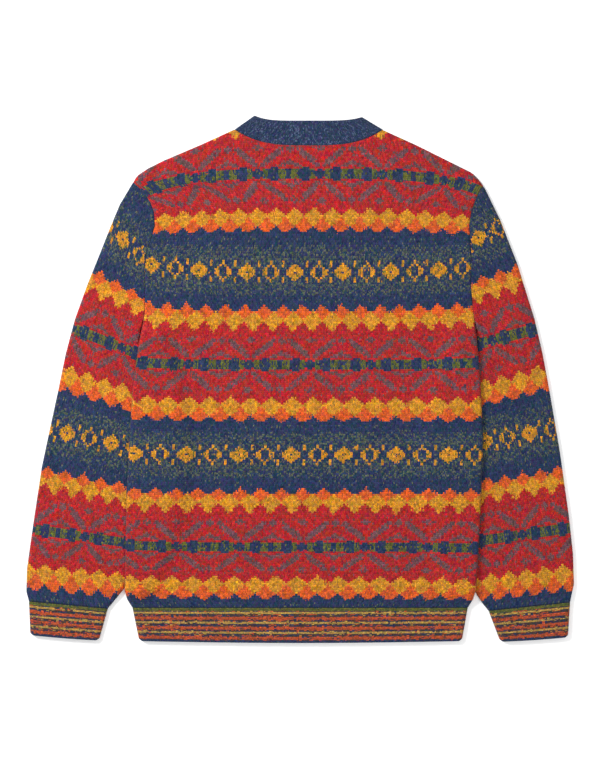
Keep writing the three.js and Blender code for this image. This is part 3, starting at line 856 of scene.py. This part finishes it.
def neck_shell(name, seed):
    turn = np.linspace(0, np.pi, NECK_STITCHES + 1)
    part = (1 - np.cos(turn)) / 2
    w = np.linspace(0, 1, NECK_ROWS + 1)[:, None]
    end_x = mix(LEFT_PEAK[0], RIGHT_PEAK[0], part)
    middle = (LEFT_PEAK[0] + RIGHT_PEAK[0]) / 2
    away = np.minimum(1, np.abs(end_x - middle) / (RIGHT_PEAK[0] - middle))
    peak = np.where(end_x < middle, LEFT_PEAK[1], RIGHT_PEAK[1])
    start_x = mix(NECK_LEFT, NECK_RIGHT, part)
    back_end = mix(BAND_BACK_TOP, peak, away ** PEAK_CURVE)
    front_end = mix(LEFT_PEAK[1], RIGHT_PEAK[1], part) - BAND_FRONT_INNER_DROP * np.sin(turn)
    layers = []
    for neckline, end_y in ((back_neckline, back_end), (front_neckline, front_end)):
        start_y = neckline(start_x)
        start_y[0] = LEFT_CORNER[1]
        start_y[-1] = RIGHT_CORNER[1]
        x = mix(start_x[None, :], end_x[None, :], w)
        y = mix(start_y[None, :], end_y[None, :], w)
        layers.append((x, y))
    fold_lines = ((LEFT_CORNER, LEFT_PEAK, 1), (RIGHT_CORNER, RIGHT_PEAK, -1))
    rings = []
    for (x, y), is_upper in zip(layers, (True, False)):
        depth = np.full(x.shape, FAR_IN)
        for corner, tip, side in fold_lines:
            along = (tip - corner) / np.linalg.norm(tip - corner)
            across = side * ((x - corner[0]) * along[1] - (y - corner[1]) * along[0])
            depth = np.minimum(depth, np.maximum(0, across))
        drop = fold_drop(depth, FOLD_REACH)
        rings.append(np.stack([x, y, TWO_LAYERS - drop if is_upper else drop], axis=-1))
    back_way = slice(NECK_STITCHES - 1, 0, -1)
    points = np.concatenate([rings[0], rings[1][:, back_way]], axis=1)
    yarn = np.full((NECK_ROWS, points.shape[1]), YARN_KEYS.index("N"))
    second = np.full(yarn.shape, YARN_KEYS.index("L"))
    share = np.full(yarn.shape, NECK_SPECKLE)
    return knit_object(name, points, heathered(yarn, second, share, seed), is_ring=True)


# Wool

def wool(name, sheen):
    material = bpy.data.materials.new(name)
    material.use_nodes = True
    nodes = material.node_tree.nodes
    links = material.node_tree.links
    shader = nodes["Principled BSDF"]
    shader.inputs["Roughness"].default_value = ROUGHNESS
    shader.inputs["Sheen Weight"].default_value = sheen
    shader.inputs["Sheen Roughness"].default_value = SHEEN_ROUGHNESS
    shader.inputs["Specular IOR Level"].default_value = GLOSS

    def math_node(operation, first, second=None, third=None):
        node = nodes.new("ShaderNodeMath")
        node.operation = operation
        for socket, value in zip(node.inputs, (first, second, third)):
            if value is None:
                continue
            if isinstance(value, (int, float)):
                socket.default_value = value
            else:
                links.new(value, socket)
        return node.outputs[0]

    # Each stitch is a V of two rounded legs, so the legs' rows slant down towards its middle
    stitch = nodes.new("ShaderNodeUVMap")
    stitch.uv_map = "stitch"
    split = nodes.new("ShaderNodeSeparateXYZ")
    links.new(stitch.outputs["UV"], split.inputs[0])
    across = math_node("FRACT", split.outputs["X"])
    from_middle = math_node("ABSOLUTE", math_node("SUBTRACT", across, 0.5))
    slanted = math_node("SUBTRACT", split.outputs["Y"], from_middle)
    row_part = math_node("FRACT", slanted)
    leg_part = math_node("FRACT", math_node("MULTIPLY", across, 2))
    leg_round = math_node("SINE", math_node("MULTIPLY", leg_part, math.pi))
    row_round = math_node("SINE", math_node("MULTIPLY", row_part, math.pi))
    rounded = math_node("POWER", math_node("MULTIPLY", leg_round, row_round), LEG_ROUNDING)

    fibres = nodes.new("ShaderNodeTexNoise")
    fibres.inputs["Scale"].default_value = FIBRE_SCALE
    fibres.inputs["Detail"].default_value = FIBRE_DETAIL
    place = nodes.new("ShaderNodeTexCoord")
    links.new(place.outputs["Object"], fibres.inputs["Vector"])

    # One draw for each leg gives its lightness, and another one decides between its two yarns
    legs = nodes.new("ShaderNodeCombineXYZ")
    links.new(math_node("FLOOR", math_node("MULTIPLY", split.outputs["X"], 2)), legs.inputs["X"])
    links.new(math_node("FLOOR", slanted), legs.inputs["Y"])
    heather = nodes.new("ShaderNodeTexWhiteNoise")
    links.new(legs.outputs[0], heather.inputs["Vector"])

    moved = nodes.new("ShaderNodeVectorMath")
    moved.operation = "ADD"
    links.new(legs.outputs[0], moved.inputs[0])
    moved.inputs[1].default_value = NEXT_DRAW
    chance = nodes.new("ShaderNodeTexWhiteNoise")
    links.new(moved.outputs[0], chance.inputs["Vector"])
    layers = {}
    for layer in ("yarn", "second", "share"):
        layers[layer] = nodes.new("ShaderNodeAttribute")
        layers[layer].attribute_name = layer
    colour = nodes.new("ShaderNodeMix")
    colour.data_type = "RGBA"
    is_second = math_node("LESS_THAN", chance.outputs["Value"], layers["share"].outputs["Fac"])
    links.new(is_second, colour.inputs[0])
    links.new(layers["yarn"].outputs["Color"], colour.inputs[6])
    links.new(layers["second"].outputs["Color"], colour.inputs[7])
    # Painted shade: each stitch's colour darkens towards its edges, where the grooves between stitches lie
    shade = math_node("MULTIPLY_ADD", rounded, 1 - EDGE_SHADE, EDGE_SHADE)
    fibre = math_node("MULTIPLY", fibres.outputs["Fac"], FIBRE_SHADE)
    leg = math_node("MULTIPLY_ADD", heather.outputs["Value"], LEG_SPREAD, DARKEST_LEG)
    strength = math_node("MULTIPLY", math_node("MULTIPLY", shade, fibre), leg)
    tint = nodes.new("ShaderNodeVectorMath")
    tint.operation = "SCALE"
    links.new(colour.outputs[2], tint.inputs[0])
    links.new(strength, tint.inputs["Scale"])
    flecks = nodes.new("ShaderNodeVectorMath")
    flecks.operation = "MULTIPLY_ADD"
    links.new(heather.outputs["Color"], flecks.inputs[0])
    flecks.inputs[1].default_value = (FLECKS, FLECKS, FLECKS)
    links.new(tint.outputs[0], flecks.inputs[2])
    links.new(flecks.outputs[0], shader.inputs["Base Color"])

    bump = nodes.new("ShaderNodeBump")
    bump.inputs["Distance"].default_value = RELIEF
    bump.inputs["Strength"].default_value = RELIEF_STRENGTH
    height = math_node("MULTIPLY_ADD", fibres.outputs["Fac"], FIBRE_RELIEF, rounded)
    links.new(height, bump.inputs["Height"])
    links.new(bump.outputs["Normal"], shader.inputs["Normal"])
    return material


pattern_wool = wool("pattern wool", 0.05)
navy_wool = wool("navy wool", 0.06)
striped_wool = wool("striped wool", 0.05)


def dress(piece, node, material):
    """Gives a piece its wool and its wall, hangs it on the root, and hides the part of the model that it
    stands for.
    """
    piece.data.materials.append(material)
    thicken(piece)
    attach(piece, "root")
    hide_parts(node)


# Floor

bpy.ops.mesh.primitive_plane_add(size=FLOOR_SIZE, location=(0, 0, -FLOOR_DROP))
floor = bpy.context.object
floor.name = "floor"
paper = bpy.data.materials.new("white floor")
paper.use_nodes = True
paper_inputs = paper.node_tree.nodes["Principled BSDF"].inputs
paper_inputs["Base Color"].default_value = (FLOOR_WHITE, FLOOR_WHITE, FLOOR_WHITE, 1)
paper_inputs["Roughness"].default_value = 1
paper_inputs["Emission Color"].default_value = (1, 1, 1, 1)
paper_inputs["Emission Strength"].default_value = FLOOR_GLOW
floor.data.materials.append(paper)

# Pieces: the last number of each one is the seed of its random draws

front = body_panel("knit_front", front_neckline, False, 2)
dress(front, "front", pattern_wool)
back = body_panel("knit_back", back_neckline, True, 1)
dress(back, "back", pattern_wool)
left_sleeve = sleeve_shell("knit_sleeve_left", LEFT_SLEEVE_ROWS, LEFT_OUTER, LEFT_INNER, 1, -1, 3)
dress(left_sleeve, "sleeve_left", pattern_wool)
right_sleeve = sleeve_shell("knit_sleeve_right", RIGHT_SLEEVE_ROWS, RIGHT_OUTER, RIGHT_INNER, 2, 1, 4)
dress(right_sleeve, "sleeve_right", pattern_wool)
neck = neck_shell("knit_neckband", 5)
dress(neck, "neckband", navy_wool)
welt = striped_band("knit_welt", WELT, 6)
dress(welt, "welt", striped_wool)
left_cuff = striped_band("knit_cuff_left", LEFT_CUFF, 7)
dress(left_cuff, "cuff_left", striped_wool)
right_cuff = striped_band("knit_cuff_right", RIGHT_CUFF, 8)
dress(right_cuff, "cuff_right", striped_wool)


# Light and camera

def area_light(name, place, size, power):
    light = bpy.data.lights.new(name, "AREA")
    light.shape = "DISK"
    light.size = size
    light.energy = power
    lamp = bpy.data.objects.new(name, light)
    bpy.context.collection.objects.link(lamp)
    lamp.location = place
    lamp.rotation_mode = "QUATERNION"
    lamp.rotation_quaternion = (-Vector(place)).to_track_quat("-Z", "Y")


for light_name, light_place, light_size, light_power in LIGHTS:
    area_light(light_name, light_place, light_size, light_power)

world = bpy.data.worlds.new("white room")
world.use_nodes = True
world.node_tree.nodes["Background"].inputs["Color"].default_value = (1, 1, 1, 1)
world.node_tree.nodes["Background"].inputs["Strength"].default_value = ROOM_LIGHT
scene = bpy.context.scene
scene.world = world
scene.view_settings.view_transform = "Standard"

camera_data = bpy.data.cameras.new("camera")
camera = bpy.data.objects.new("camera", camera_data)
bpy.context.collection.objects.link(camera)
camera.location = CAMERA_PLACE
camera_data.sensor_width = SENSOR
camera_data.lens = SENSOR * CAMERA_PLACE[2] / PICTURE_HEIGHT
scene.camera = camera
